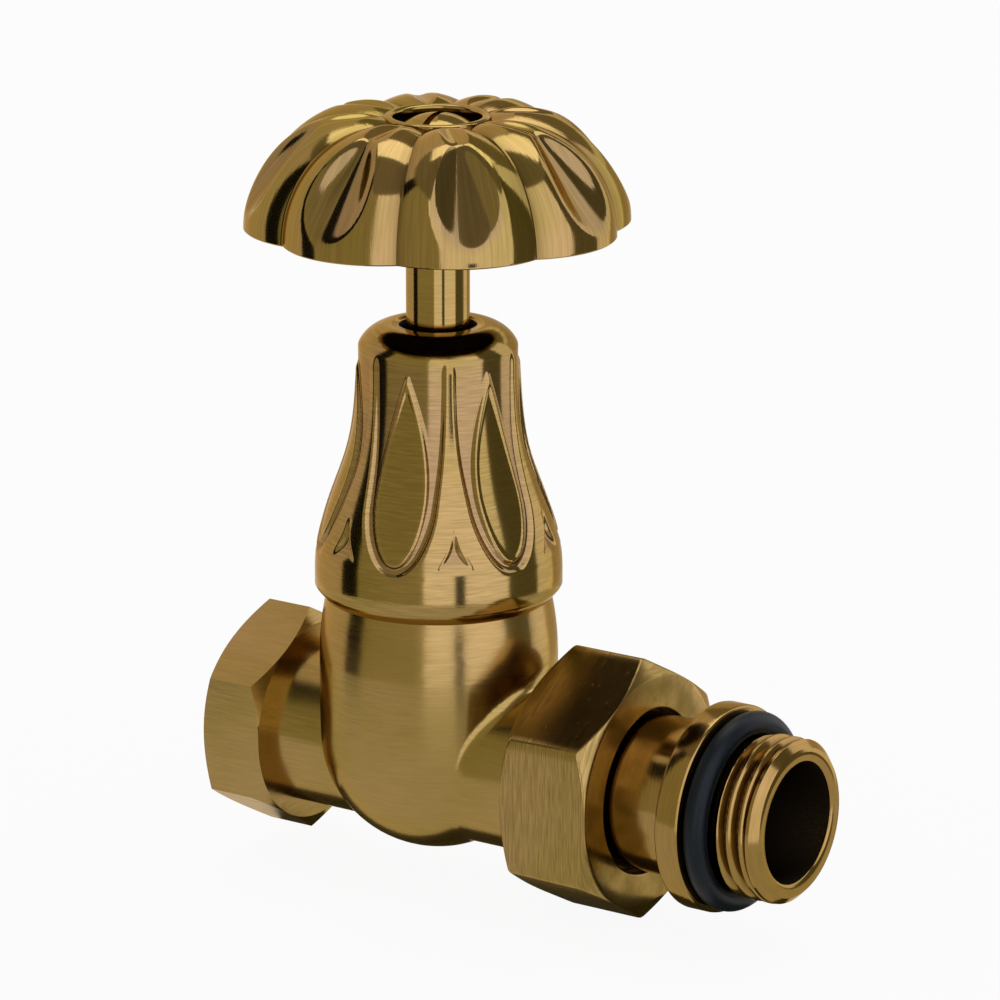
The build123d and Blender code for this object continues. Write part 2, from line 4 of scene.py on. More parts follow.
import bpy
import numpy as np
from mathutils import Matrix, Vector


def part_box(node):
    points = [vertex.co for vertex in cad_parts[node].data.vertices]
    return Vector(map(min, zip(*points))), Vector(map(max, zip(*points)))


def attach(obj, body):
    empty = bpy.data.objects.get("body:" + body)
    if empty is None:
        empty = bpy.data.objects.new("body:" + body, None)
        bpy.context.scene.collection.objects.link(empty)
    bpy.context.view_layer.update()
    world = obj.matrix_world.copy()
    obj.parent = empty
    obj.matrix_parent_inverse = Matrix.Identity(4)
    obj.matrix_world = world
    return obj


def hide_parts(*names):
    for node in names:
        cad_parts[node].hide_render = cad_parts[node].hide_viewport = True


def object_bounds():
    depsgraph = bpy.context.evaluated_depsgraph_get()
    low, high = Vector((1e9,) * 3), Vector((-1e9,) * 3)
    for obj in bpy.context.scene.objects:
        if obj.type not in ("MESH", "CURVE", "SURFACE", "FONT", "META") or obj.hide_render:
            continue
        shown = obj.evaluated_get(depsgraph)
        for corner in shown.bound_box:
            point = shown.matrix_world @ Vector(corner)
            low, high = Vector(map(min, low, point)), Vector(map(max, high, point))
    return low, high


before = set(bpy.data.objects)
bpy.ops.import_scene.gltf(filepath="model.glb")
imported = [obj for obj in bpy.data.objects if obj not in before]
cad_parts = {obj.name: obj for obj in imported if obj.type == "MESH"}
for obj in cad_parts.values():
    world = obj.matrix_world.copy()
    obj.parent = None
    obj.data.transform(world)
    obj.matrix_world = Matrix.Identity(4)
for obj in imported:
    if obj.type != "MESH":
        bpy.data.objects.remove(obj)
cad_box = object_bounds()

MM = 0.001

# Places and sizes from the frame, in millimetres


def node_box(node):
    """Lowest and highest corner of a node, in millimetres."""
    low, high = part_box(node)
    return np.array(low) / MM, np.array(high) / MM


bell_low, bell_high = node_box("bell_cover")
wheel_low = node_box("handwheel")[0]
nut_low, nut_high = node_box("union_nut")
tail_low, tail_high = node_box("union_tail")
ring_low = node_box("tail_oring")[0]
floor_height = cad_box[0].z / MM
stem_x = (bell_low[0] + bell_high[0]) / 2

# Edges
corner_steps = 4              # points on a rounded corner
carved_crease = 62.0          # degrees over which an edge stays sharp
nut_crease = 40.0
body_crease = 28.0

# Bell cover, heights above its lower edge
bell_base = bell_low[2]
bell_height = bell_high[2] - bell_base
bell_skirt_radius = (bell_high[1] - bell_low[1]) / 2
bell_foot_radius = 14.4
bell_edge_rise = 1.5
bell_skirt_height = 3.5
bell_flare = (13.9, 13.0)
bell_waist = (11.7, 19.4)
bell_neck_radius = 10.5
bell_shoulder_radius = 4.4
bell_shoulder_low = bell_height - bell_shoulder_radius
bell_hole_radius = 4.9
bell_bore_radius = 8.05
bell_bore_start, bell_bore_end = 17.5, bell_height - 4.5
bell_cavity_radius, bell_cavity_height = 13.3, 7.3
panel_count = 6
panel_turn = -17.0
panel_half = 4.65
panel_straight_end, panel_bottom = 14.3, 6.4
panel_depth, panel_depth_top = 0.6, 0.38
leaf_half = 3.5
leaf_top, leaf_widest, leaf_bottom = bell_height - 4.5, 15.5, 7.4
leaf_rim, leaf_sink = 0.55, 0.2
leaf_curve = 1.6              # power of the curve that draws out a leaf's tip
dart_half, dart_top, dart_bottom = 2.7, 12.0, 6.8
dart_run = 2.2                # height over which a dart's floor comes out to the surface
carve_edge = 0.45             # width of the slope at a carved edge

# Handwheel
wheel_rim = wheel_low[2]
dome_radius = 14.45
wheel_crest = wheel_rim + dome_radius
crest_radius = 10.1
wheel_wall = 3.8
lobe_count = 8
lobe_depth, lobe_depth_top = 1.8, 1.0
dish_depth, dish_radius = 0.6, 6.7
dish_end_tangent = (-0.98, -0.2)
bead_radius, bead_section, bead_drop = 6.2, 0.7, 0.9
bead_flatness = 0.75
recess_radius, recess_floor = 5.6, wheel_crest - 3.3
screw_hole_radius = 2.3
square_half, square_top = 2.85, recess_floor - 1.5
hub_radius, hub_low = 6.6, wheel_rim + 1.8
hub_edge, hub_fillet = 0.3, 0.6
rim_break, rim_rise = 0.25, 0.2
gouge_angles, gouge_radii = (74.0, 7.5), (0.4, 10.5)
flute_start_radius, flute_end_angle, flute_radii = 7.4, 66.0, (1.7, 2.1)
cut_overrun = 1.5
cut_blend = 0.25              # how softly a flute runs into a gouge
cut_softening = 8             # passes that round the gouges' edges
gouge_shade_depth = 0.5       # depth at which a gouge has its full shade
cleft_power = 12              # how narrow the painted shade between two lobes is

# Union
nut_flat = (nut_high[1] - nut_low[1]) / 2
nut_thread_radius = 13.27
nut_wall = 2.6
nut_hole_radius = 10.6
nut_corner_round = 0.5
nut_corner_blend = 0.12
hex_chamfer_least = 0.02
hex_chamfer_slope = tan(radians(30))
edge_round = 0.36
thread_pitch = 1.814
thread_crest, thread_root = 10.4775, 9.316
flank_round, flank_slope = 0.3, 0.85
root_fill = 0.15              # by how much the tail's thread is cut less deep
# how the painted shade in the thread's roots comes in with their depth
root_shade_run, root_shade_start = 0.8, 0.2
lead_in_drop = 0.3
thread_land = 1.5             # plain end of the tail, chamfer included
land_run, land_drop = 0.3, 0.1
thread_shift = -0.2
tail_end = tail_high[0]
thread_start = tail_end - 6.5
thread_chamfer = 1.0
collar_radius = (tail_high[1] - tail_low[1]) / 2
collar_back, collar_front = ring_low[0] - 0.02 - 3.3, ring_low[0] - 0.02
neck_radius = 10.0
relief_radius = 9.6975
nose_x = tail_low[0]
seal_groove = (nose_x + 0.7, nose_x + 3.1, 8.01)
retainer_groove = (nose_x + 4.05, nose_x + 5.75, 8.9)
bore_radius, bore_inner_radius, bore_step_x = 7.71, 6.81, tail_end - 12.0

# Inlet socket
socket_depth = 10.5
socket_overrun = 0.5          # how far the thread's cutter sticks out of the mouth
socket_run_out = 1.4
cutter_clear, cutter_wall = 0.02, 1.0
weld_distance = 0.002

# Meshes


def smoothstep(value):
    """Smooth rise from 0 to 1 as the value goes from 0 to 1."""
    share = np.clip(value, 0, 1)
    return share * share * (3 - 2 * share)


def clamped_spline(points, first_tangent, last_tangent, count):
    """Smooth curve through points with unit tangents at both ends, as evenly stepped points."""
    points = np.array(points, float)
    spans = np.linalg.norm(np.diff(points, axis=0), axis=1)
    size = len(points)
    system = np.eye(size)
    wanted = np.zeros((size, 2))
    wanted[0], wanted[-1] = first_tangent, last_tangent
    for i in range(1, size - 1):
        before, after = spans[i - 1], spans[i]
        system[i, i - 1:i + 2] = 1 / before, 2 / before + 2 / after, 1 / after
        wanted[i] = 3 * ((points[i] - points[i - 1]) / before**2 + (points[i + 1] - points[i]) / after**2)
    slopes = np.linalg.solve(system, wanted)
    knots = np.concatenate([[0], np.cumsum(spans)])
    places = np.linspace(0, knots[-1], count)
    index = np.clip(np.searchsorted(knots, places, side="right") - 1, 0, size - 2)
    span = spans[index][:, None]
    share = (places - knots[index])[:, None] / span
    rest = 1 - share
    return (
        points[index] * (1 + 2 * share) * rest**2
        + slopes[index] * span * share * rest**2
        + points[index + 1] * (3 - 2 * share) * share**2
        - slopes[index + 1] * span * rest * share**2
    )


def arc(center, radius, first, last, count):
    """Points on an arc, by angles in degrees."""
    angles = np.radians(np.linspace(first, last, count))
    return np.stack([center[0] + radius * np.cos(angles), center[1] + radius * np.sin(angles)], axis=1)


def soften(corners, size, steps=corner_steps):
    """Round each corner of a closed outline whose corners are (place, radius) pairs, for every column."""
    rows = []
    for index, corner in enumerate(corners):
        before = corners[index - 1] - corner
        after = corners[(index + 1) % len(corners)] - corner
        before_length = np.linalg.norm(before, axis=-1, keepdims=True)
        after_length = np.linalg.norm(after, axis=-1, keepdims=True)
        reach = np.minimum(size, 0.4 * np.minimum(before_length, after_length))
        start = corner + before / np.maximum(before_length, 1e-9) * reach
        end = corner + after / np.maximum(after_length, 1e-9) * reach
        for share in np.linspace(0, 1, steps):
            rows.append((1 - share) ** 2 * start + 2 * share * (1 - share) * corner + share**2 * end)
    return np.array(rows)


def round_stem(angles, profile):
    """Turn (radius, height) profiles, one for each angle, round the stem axis."""
    radius, height = profile[..., 0], profile[..., 1]
    return np.stack([stem_x + radius * np.cos(angles), radius * np.sin(angles), height], axis=-1)


def round_pipe(angles, profile):
    """Turn (place, radius) profiles, one for each angle, round the pipe axis."""
    place, radius = profile[..., 0], profile[..., 1]
    return np.stack([place, radius * np.cos(angles), radius * np.sin(angles)], axis=-1)


def grid_mesh(name, points, row_count, column_count):
    """Mesh over a grid of points, with as many rows and columns of faces as asked for."""
    rows, columns = points.shape[:2]
    row, column = np.meshgrid(np.arange(row_count), np.arange(column_count), indexing="ij")
    next_row, next_column = (row + 1) % rows, (column + 1) % columns
    corners = [(row, column), (row, next_column), (next_row, next_column), (next_row, column)]
    faces = np.stack([r * columns + c for r, c in corners], axis=-1).reshape(-1, 4)
    mesh = bpy.data.meshes.new(name)
    mesh.from_pydata((points.reshape(-1, 3) * MM).tolist(), [], faces.tolist())
    piece = bpy.data.objects.new(name, mesh)
    bpy.context.scene.collection.objects.link(piece)
    return piece


def sheet_mesh(name, points):
    """Open mesh over a grid of points."""
    return grid_mesh(name, points, points.shape[0] - 1, points.shape[1] - 1)


def loop_mesh(name, points, sharp_angle=50.0):
    """Closed smooth mesh from a grid of points that wraps round both ways, rows along the outline."""
    piece = grid_mesh(name, points, *points.shape[:2])
    piece.data.polygons.foreach_set("use_smooth", [True] * len(piece.data.polygons))
    piece.data.set_sharp_from_angle(angle=radians(sharp_angle))
    piece.data.update()
    return piece


def point_values(piece, name, values):
    """Store one number for each point of a piece, for its material to read."""
    attribute = piece.data.attributes.new(name, "FLOAT", "POINT")
    attribute.data.foreach_set("value", np.asarray(values, np.float32).ravel())


def point_vectors(piece, name, vectors):
    """Store one vector for each point of a piece, for its material to read."""
    attribute = piece.data.attributes.new(name, "FLOAT_VECTOR", "POINT")
    attribute.data.foreach_set("vector", np.asarray(vectors, np.float32).ravel())


def softened(values, passes):
    """Smooth a grid of depths that wraps round its columns, by a few passes over its neighbours."""
    for _ in range(passes):
        values = (np.roll(values, 1, axis=1) + 2 * values + np.roll(values, -1, axis=1)) / 4
        padded = np.pad(values, ((1, 1), (0, 0)), "edge")
        values = (padded[:-2] + 2 * values + padded[2:]) / 4
    return values


def painted_shade_inside(piece, columns, rows):
    """Leave the second material, near-black painted shade, for the faces of the rows that lie inside."""
    piece.data.polygons.foreach_set("material_index", np.repeat(rows, columns).astype(np.int32))


def takes_place(piece, node, body):
    """Show a piece instead of its node, on the node's body."""
    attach(piece, body)
    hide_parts(node)
    return piece


# Bell cover


def half_width(heights, outline, across):
    """How far inside a symmetrical outline a point lies, from the outline's (half width, height) points."""
    order = np.argsort(outline[:, 1])
    levels, widths = outline[order, 1], outline[order, 0]
    width = np.interp(heights, levels, widths)
    slope = np.interp(heights, levels, np.gradient(widths, levels))
    inside = (width - np.abs(across)) / np.sqrt(1 + slope**2)
    return np.minimum(inside, np.minimum(heights - levels[0], levels[-1] - heights))


def leaf_outline():
    """One side of a leaf: a long curve from its tip to its widest point, then a quarter of an ellipse."""
    share = np.linspace(0, 1, 40)
    rising = leaf_widest + share * (leaf_top - leaf_widest)
    upper = np.stack([leaf_half * (1 - share**leaf_curve), rising], axis=1)
    falling = leaf_widest - share * (leaf_widest - leaf_bottom)
    lower = np.stack([leaf_half * np.sqrt(1 - share**2), falling], axis=1)
    return np.vstack([lower[:0:-1], upper])


def bell_side(depth, depth_top, count):
    """The bell's side from its skirt up to its shoulder, set in by a depth."""
    places = [
        (bell_skirt_radius - depth, bell_skirt_height),
        (bell_flare[0] - depth, bell_flare[1]),
        (bell_waist[0] - depth, bell_waist[1]),
        (bell_neck_radius - depth_top, bell_shoulder_low),
    ]
    return clamped_spline(places, (0, 1), (0, 1), count)


def carving(angle, radius, height):
    """Depth of the carving on the bell and the share of a leaf's field, by degrees, radius and height."""
    step = 360 / panel_count
    from_panel = (angle - panel_turn + step / 2) % step - step / 2
    from_dart = (angle - panel_turn) % step - step / 2
    across = radius * np.sin(np.radians(from_panel))
    dart_across = radius * np.sin(np.radians(from_dart))

    foot = clamped_spline([(panel_half, panel_straight_end), (0, panel_bottom)], (0, -1), (-1, 0), 40)
    channel_outline = np.vstack([[(panel_half, bell_height + cut_overrun)], foot])
    channel = half_width(height, channel_outline, across)
    leaf = half_width(height, leaf_outline(), across)
    share = np.linspace(0, 1, 20)
    dart_levels = dart_bottom + share * (dart_top - dart_bottom)
    dart = half_width(height, np.stack([dart_half * (1 - share) ** 2, dart_levels], axis=1), dart_across)

    def step_in(inside):
        return smoothstep(inside / carve_edge + 0.5)

    floor = bell_side(panel_depth, panel_depth_top, 100)
    room = np.maximum(radius - np.interp(height, floor[:, 1], floor[:, 0]), 0)
    sunk = step_in(channel) * (1 - step_in(leaf)) * room
    field = step_in(leaf - leaf_rim)
    dart_depth = step_in(dart) * room * smoothstep((height - dart_bottom) / dart_run)
    return np.maximum(sunk + field * leaf_sink, dart_depth), field


def make_bell():
    """Turned bell with six carved panels, their leaves rimmed, and six darts."""
    columns = 480
    crown = bell_neck_radius - bell_shoulder_radius
    lip = 0.15
    outer = np.vstack([
        [(bell_foot_radius, 0), (bell_foot_radius + lip, lip / 2)],
        [(bell_skirt_radius - lip, bell_edge_rise - lip), (bell_skirt_radius - lip / 2, bell_edge_rise)],
        [(bell_skirt_radius, bell_edge_rise + lip)],
        bell_side(0, 0, 140),
        arc((crown, bell_shoulder_low), bell_shoulder_radius, 2, 90, 40),
        [(bell_hole_radius + lip, bell_height), (bell_hole_radius, bell_height - lip)],
    ])
    inner = np.array([
        (bell_hole_radius, bell_bore_end), (bell_bore_radius, bell_bore_end),
        (bell_bore_radius, bell_bore_start), (bell_cavity_radius, bell_cavity_height),
        (bell_cavity_radius, 0),
    ])
    angles = np.linspace(0, 2 * pi, columns, endpoint=False)
    profile = np.repeat(np.vstack([outer, inner])[:, None, :], columns, axis=1)
    depth, field = np.zeros((2, *profile.shape[:2]))
    rows = len(outer) - 2
    depth[:rows], field[:rows] = carving(np.degrees(angles)[None, :], outer[:rows, :1], outer[:rows, 1:])
    depth = softened(depth, 1)
    profile[..., 0] -= depth
    profile[..., 1] += bell_base
    piece = loop_mesh("bell", round_stem(angles, profile), carved_crease)
    # share of painted shade with a pinker reflection tint, by how deep the bell is sunk
    point_values(piece, "recess", depth / panel_depth)
    # share of the leaf's field, for its painted reflection tint
    point_values(piece, "field", field)
    painted_shade_inside(piece, columns, np.arange(len(profile)) > rows)
    return takes_place(piece, "bell_cover", "valve_body")


# Handwheel


def dome_point(angle):
    """Radius and height on the wheel's dome, at an angle in degrees up from the rim."""
    rise = radians(angle)
    return np.array([crest_radius + dome_radius * cos(rise), wheel_rim + dome_radius * sin(rise)])


def tapered_cut(start, start_radius, end, end_radius):
    """Axis and generator of a cone that touches the line between two points of the meridian."""
    along = (end - start) / np.linalg.norm(end - start)
    outward = np.array([-along[1], along[0]])
    slope = (end_radius - start_radius) / np.linalg.norm(end - start)
    first = start - along * start_radius
    last = end + along * cut_overrun
    axis_start = first + outward * (start_radius - slope * start_radius)
    axis_end = last + outward * (end_radius + slope * cut_overrun)
    return axis_start, axis_end, first, last


def inside_cut(cut, point):
    """How deep a point lies inside a cone, positive inside."""
    axis_start, axis_end, first, last = [np.array([p[0], 0, p[1]]) for p in cut]
    axis = (axis_end - axis_start) / np.linalg.norm(axis_end - axis_start)
    places = [(p - axis_start) @ axis for p in (first, last)]
    radii = [np.linalg.norm(p - axis_start - place * axis) for p, place in zip((first, last), places)]
    place = (point - axis_start) @ axis
    distance = np.linalg.norm(point - axis_start - place[..., None] * axis, axis=-1)
    radius = radii[0] + (radii[1] - radii[0]) * (place - places[0]) / (places[1] - places[0])
    return np.where((place > places[0]) & (place < places[1]), radius - distance, -1.0)


def cut_depth(cut, point, inward, deepest=4.0):
    """How far a point has to go inward to come out of a cone."""
    low, high = np.zeros(point.shape[:-1]), np.full(point.shape[:-1], deepest)
    for _ in range(26):
        middle = (low + high) / 2
        still_in = inside_cut(cut, point + inward * middle[..., None]) > 0
        low, high = np.where(still_in, middle, low), np.where(still_in, high, middle)
    return np.where(inside_cut(cut, point) > 0, low, 0.0)


def soft_max(first, second, blend):
    """The larger of two depths, rounded where they cross."""
    return (first + second + np.sqrt((first - second) ** 2 + blend**2) - blend) / 2


def make_wheel():
    """Wheel of eight lobes with drop-shaped gouges and flutes, hollow below, with a square hole."""
    lobe_columns = 60
    columns = lobe_columns * lobe_count
    dome_rows, dish_rows = 110, 26
    rise = np.linspace(0, 90, dome_rows)
    dome = np.stack([dome_point(angle) for angle in rise])
    dome_inward = -np.stack([np.cos(np.radians(rise)), np.sin(np.radians(rise))], axis=1)
    dish = clamped_spline(
        [(crest_radius, wheel_crest), (dish_radius, wheel_crest - dish_depth)],
        (-1, 0), dish_end_tangent, dish_rows,
    )[1:]
    top = np.vstack([dome, dish])
    inward = np.vstack([dome_inward, np.repeat([[0, -1.0]], len(dish), axis=0)])
    fade = np.concatenate([
        lobe_depth + (lobe_depth_top - lobe_depth) * rise / 90,
        np.linspace(lobe_depth_top, lobe_depth_top / 2, len(dish)),
    ])

    step = 2 * pi / lobe_count
    turn = (np.arange(lobe_columns) / lobe_columns - 0.5) * step
    share = turn / (step / 2)
    swell = fade[:, None] * (share**2)[None, :]
    radius = top[:, None, 0] + inward[:, None, 0] * swell
    height = top[:, None, 1] + inward[:, None, 1] * swell
    point = np.stack([radius * np.cos(turn), radius * np.sin(turn), height], axis=-1)
    direction = np.stack([
        inward[:, None, 0] * np.cos(turn)[None, :],
        inward[:, None, 0] * np.sin(turn)[None, :],
        np.repeat(inward[:, None, 1], lobe_columns, axis=1),
    ], axis=-1)
    gouge_top, gouge_foot = [dome_point(angle) for angle in gouge_angles]
    gouge = tapered_cut(gouge_top, gouge_radii[0], gouge_foot, gouge_radii[1])
    flute_start = np.array([flute_start_radius, wheel_crest - dish_depth])
    flute = tapered_cut(flute_start, flute_radii[0], dome_point(flute_end_angle), flute_radii[1])
    depths = [cut_depth(cut, point, direction) for cut in (gouge, flute)]
    carved = softened(np.where(sum(depths) > 0, soft_max(*depths, cut_blend), 0), cut_softening)
    depth = np.tile(swell + carved, (1, lobe_count))
    # painted shade share, highest in the clefts between lobes
    painted_cleft_shade = np.tile(np.repeat(np.abs(share)[None, :] ** cleft_power, len(top), axis=0), (1, lobe_count))
    hollow = np.tile(softened(depths[0], cut_softening), (1, lobe_count))

    angles = (np.arange(columns) / lobe_columns - 0.5) * step
    upper = top[:, None, :] + inward[:, None, :] * depth[..., None]
    inner_dome = dome_radius - wheel_wall
    bead = arc((bead_radius, wheel_crest - bead_drop), bead_section, 40, 148, 10)
    bead[:, 1] = wheel_crest - bead_drop + bead_flatness * (bead[:, 1] - wheel_crest + bead_drop)
    below = np.vstack([
        bead,
        np.linspace((recess_radius, wheel_crest - bead_drop), (recess_radius, recess_floor), 4),
        [(screw_hole_radius, recess_floor), (screw_hole_radius, square_top)],
    ])
    square = square_half / np.maximum(np.abs(np.cos(angles)), np.abs(np.sin(angles)))
    socket = np.stack([
        np.stack([square, np.full(columns, level)], axis=1) for level in (square_top, hub_low)
    ])
    hollow_top = wheel_rim + inner_dome
    under = np.vstack([
        [(hub_radius - hub_edge, hub_low), (hub_radius, hub_low + hub_edge)],
        [(hub_radius, hollow_top - hub_fillet), (hub_radius + hub_fillet, hollow_top)],
        arc((crest_radius, wheel_rim), inner_dome, 90, 0, 26),
    ])
    rim = upper[0] - (rim_break, 0)
    upper[0, :, 1] += rim_rise
    profile = np.concatenate([
        upper,
        np.repeat(below[:, None, :], columns, axis=1),
        socket,
        np.repeat(under[:, None, :], columns, axis=1),
        rim[None],
    ])
    piece = loop_mesh("wheel", round_stem(angles, profile), carved_crease)
    rows = len(profile)
    recess = np.zeros((rows, columns))
    recess[:len(top)] = np.clip(painted_cleft_shade, 0, 1)
    # rows under the wheel that get the near-black painted shade
    inside = np.arange(rows) >= len(top) + len(below) - 3
    inside[-2:] = False
    # painted shade share in the gouges, by their depth
    gouged = np.zeros((rows, columns))
    gouged[:len(top)] = np.clip(hollow / gouge_shade_depth, 0, 1)
    point_values(piece, "recess", recess)
    point_values(piece, "gouged", gouged)
    painted_shade_inside(piece, columns, inside)
    along = np.cumsum(np.linalg.norm(np.diff(profile, axis=0, prepend=profile[:1]), axis=-1), axis=0)
    grain = np.stack([
        crest_radius * 2 * np.cos(angles)[None, :] + 0 * along,
        crest_radius * 2 * np.sin(angles)[None, :] + 0 * along,
        along,
    ], axis=-1)
    point_vectors(piece, "grain", grain)
    return takes_place(piece, "handwheel", "spindle")


# Union nut and tail


def hexagon_columns(flat, corner_round, per_side=18):
    """Angles round a hexagon with a corner at the top, and its rounded half-width at each of them."""
    corner = flat / cos(pi / 6)
    step = pi / 3
    share = np.sin(np.linspace(-pi / 2, pi / 2, per_side, endpoint=False))
    side = share * step / 2
    angles = np.concatenate([side + index * step for index in range(6)])
    reach = np.tile(flat / np.cos(side), 6)
    limit = corner - corner_round * (1 / cos(pi / 6) - 1) * 2
    return angles, -soft_max(-reach, np.full_like(reach, -limit), nut_corner_blend)


def hexagon_outline(start, end, flat, reach):
    """Outer corners of a hexagon prism whose ends are turned to a cone, for every column."""
    run = np.maximum((reach - flat) * hex_chamfer_slope, hex_chamfer_least)
    face = np.full_like(reach, flat - hex_chamfer_least)
    return [
        np.stack([np.full_like(reach, start), face], axis=1),
        np.stack([start + run, reach], axis=1),
        np.stack([end - run, reach], axis=1),
        np.stack([np.full_like(reach, end), face], axis=1),
    ]


def plain_corners(columns, *corners):
    """Corners that are the same in every column."""
    return [np.repeat([corner], columns, axis=0) for corner in np.array(corners, float)]


def make_nut():
    """Union nut with turned ends and softened edges."""
    angles, reach = hexagon_columns(nut_flat, nut_corner_round)
    back, front = nut_low[0], nut_high[0]
    shelf = front - nut_wall
    corners = hexagon_outline(back, front, nut_flat, reach) + plain_corners(
        len(angles), (front, nut_hole_radius), (shelf, nut_hole_radius), (shelf, nut_thread_radius),
        (back, nut_thread_radius),
    )
    piece = loop_mesh("hex_nut", round_pipe(angles, soften(corners, edge_round)), nut_crease)
    return takes_place(piece, "union_nut", "union_nut")


def thread_radius(place, angle, root, crest):
    """Radius of a right-hand pipe thread with narrow crests and rounded flanks."""
    turn = (place / thread_pitch - angle / (2 * pi)) % 1
    wave = np.abs(2 * turn - 1)
    rounded = 0.5 - 0.5 * np.cos(pi * wave)
    return root + (crest - root) * np.minimum(flank_round * rounded + flank_slope * wave, 1)


def make_tail():
    """Tail with its grooves, collar, relief, cut thread and stepped bore."""
    columns = 240
    angles = np.linspace(0, 2 * pi, columns, endpoint=False)
    seal_start, seal_end, seal_root = seal_groove
    keep_start, keep_end, keep_root = retainer_groove
    before = soften(plain_corners(
        columns, (nose_x, bore_inner_radius), (nose_x, neck_radius), (seal_start, neck_radius),
        (seal_start, seal_root), (seal_end, seal_root), (seal_end, neck_radius), (keep_start, neck_radius),
        (keep_start, keep_root), (keep_end, keep_root), (keep_end, neck_radius), (collar_back, neck_radius),
        (collar_back, collar_radius), (collar_front, collar_radius), (collar_front, relief_radius),
        (thread_start, relief_radius),
    ), edge_round)[:-corner_steps]
    place = np.linspace(thread_start, tail_end, 200)[:, None] + 0 * angles
    cut = thread_radius(place - thread_shift, angles[None, :], thread_root + root_fill, thread_crest)
    land = smoothstep((place - tail_end + thread_land) / land_run + 0.5)
    cut = np.maximum(cut, land * (thread_crest - land_drop))
    lead_in = relief_radius - lead_in_drop + (place - thread_start)
    end_cone = thread_crest - thread_chamfer + (tail_end - place)
    thread = np.stack([place, np.minimum(cut, np.minimum(lead_in, end_cone))], axis=-1)
    mouth = 0.25
    after = plain_corners(
        columns, (tail_end, bore_radius + mouth), (tail_end - mouth, bore_radius), (bore_step_x, bore_radius),
        (bore_step_x - bore_radius + bore_inner_radius, bore_inner_radius),
    )
    profile = np.concatenate([before, thread, np.array(after)])
    piece = loop_mesh("tail", round_pipe(angles, profile))
    # painted shade that darkens the thread's roots, by their depth
    painted_root_shade = np.zeros(profile.shape[:2])
    depth = (thread_crest - cut) / (thread_crest - thread_root)
    painted_root_shade[len(before):len(before) + len(thread)] = smoothstep(depth / root_shade_run - root_shade_start)
    point_values(piece, "recess", painted_root_shade)
    painted_shade_inside(piece, columns, np.arange(len(profile)) > len(before) + len(thread))
    return takes_place(piece, "union_tail", "tail")


# Valve body


def apply_modifiers(piece):
    """Make a piece's modifiers part of its mesh."""
    shape = bpy.data.meshes.new_from_object(piece.evaluated_get(bpy.context.evaluated_depsgraph_get()))
    piece.modifiers.clear()
    piece.data = shape
    return shape


def make_body():
    """The body's own solid with the female thread cut into its socket."""
    columns = 180
    angles = np.linspace(0, 2 * pi, columns, endpoint=False)
    place = np.linspace(-socket_overrun, socket_depth, 120)[:, None] + 0 * angles
    cut = thread_radius(place, angles[None, :], thread_root + cutter_clear, thread_crest)
    run_out = thread_crest - np.maximum(place - (socket_depth - socket_run_out), 0)
    outline = np.stack([place, np.minimum(cut, run_out)], axis=-1)
    core = np.stack([place[::-1], np.full_like(place, thread_root - cutter_wall)], axis=-1)
    cutter = loop_mesh("socket_cutter", round_pipe(angles, np.concatenate([outline, core])))
    piece = bpy.data.objects.new("body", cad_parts["valve_body"].data.copy())
    bpy.context.scene.collection.objects.link(piece)
    cutting = piece.modifiers.new("thread", "BOOLEAN")
    cutting.object = cutter
    cutting.solver = "EXACT"
    piece.modifiers.new("weld", "WELD").merge_threshold = weld_distance * MM
    shape = apply_modifiers(piece)
    bpy.data.objects.remove(cutter)
    if "custom_normal" in shape.attributes:
        shape.attributes.remove(shape.attributes["custom_normal"])
    shape.polygons.foreach_set("use_smooth", [True] * len(shape.polygons))
    shape.set_sharp_from_angle(angle=radians(body_crease))
    piece.modifiers.new("normals", "WEIGHTED_NORMAL").keep_sharp = True
    apply_modifiers(piece)
    return takes_place(piece, "valve_body", "valve_body")


# Materials


class Nodes:
    """Short hand for building a material's node tree."""

    def __init__(self, name):
        self.material = bpy.data.materials.new(name)
        self.material.use_nodes = True
        self.tree = self.material.node_tree
        self.shader = self.tree.nodes["Principled BSDF"]

    def add(self, kind, values=None, links=None, **settings):
        node = self.tree.nodes.new("ShaderNode" + kind)
        for key, value in settings.items():
            setattr(node, key, value)
        for key, value in (values or {}).items():
            node.inputs[key].default_value = value
        for key, source in (links or {}).items():
            self.tree.links.new(source, node.inputs[key])
        return node

    def link(self, source, socket):
        self.tree.links.new(source, self.shader.inputs[socket])


def stretched(nodes, scale):
    """Coordinates squeezed by a scale, so that a noise becomes brush marks."""
    place = nodes.add("TexCoord").outputs["Object"]
    return nodes.add("Mapping", {"Scale": scale}, {"Vector": place}).outputs["Vector"]


def ramp(nodes, source, low, high, to_low, to_high):
    """Map a number from one range to another, clamped."""
    return nodes.add(
        "MapRange",
        {"From Min": low, "From Max": high, "To Min": to_low, "To Max": to_high},
        {"Value": source},
    ).outputs["Result"]


def mix_colors(nodes, share, first, second, how="MIX"):
    """Mix two colours, either of which may be a socket."""
    node = nodes.add("Mix", data_type="RGBA", blend_type=how)
    nodes.tree.links.new(share, node.inputs["Factor"])
    for socket, color in zip((node.inputs[6], node.inputs[7]), (first, second)):
        if isinstance(color, tuple):
            socket.default_value = (*color, 1)
        else:
            nodes.tree.links.new(color, socket)
    return node.outputs[2]


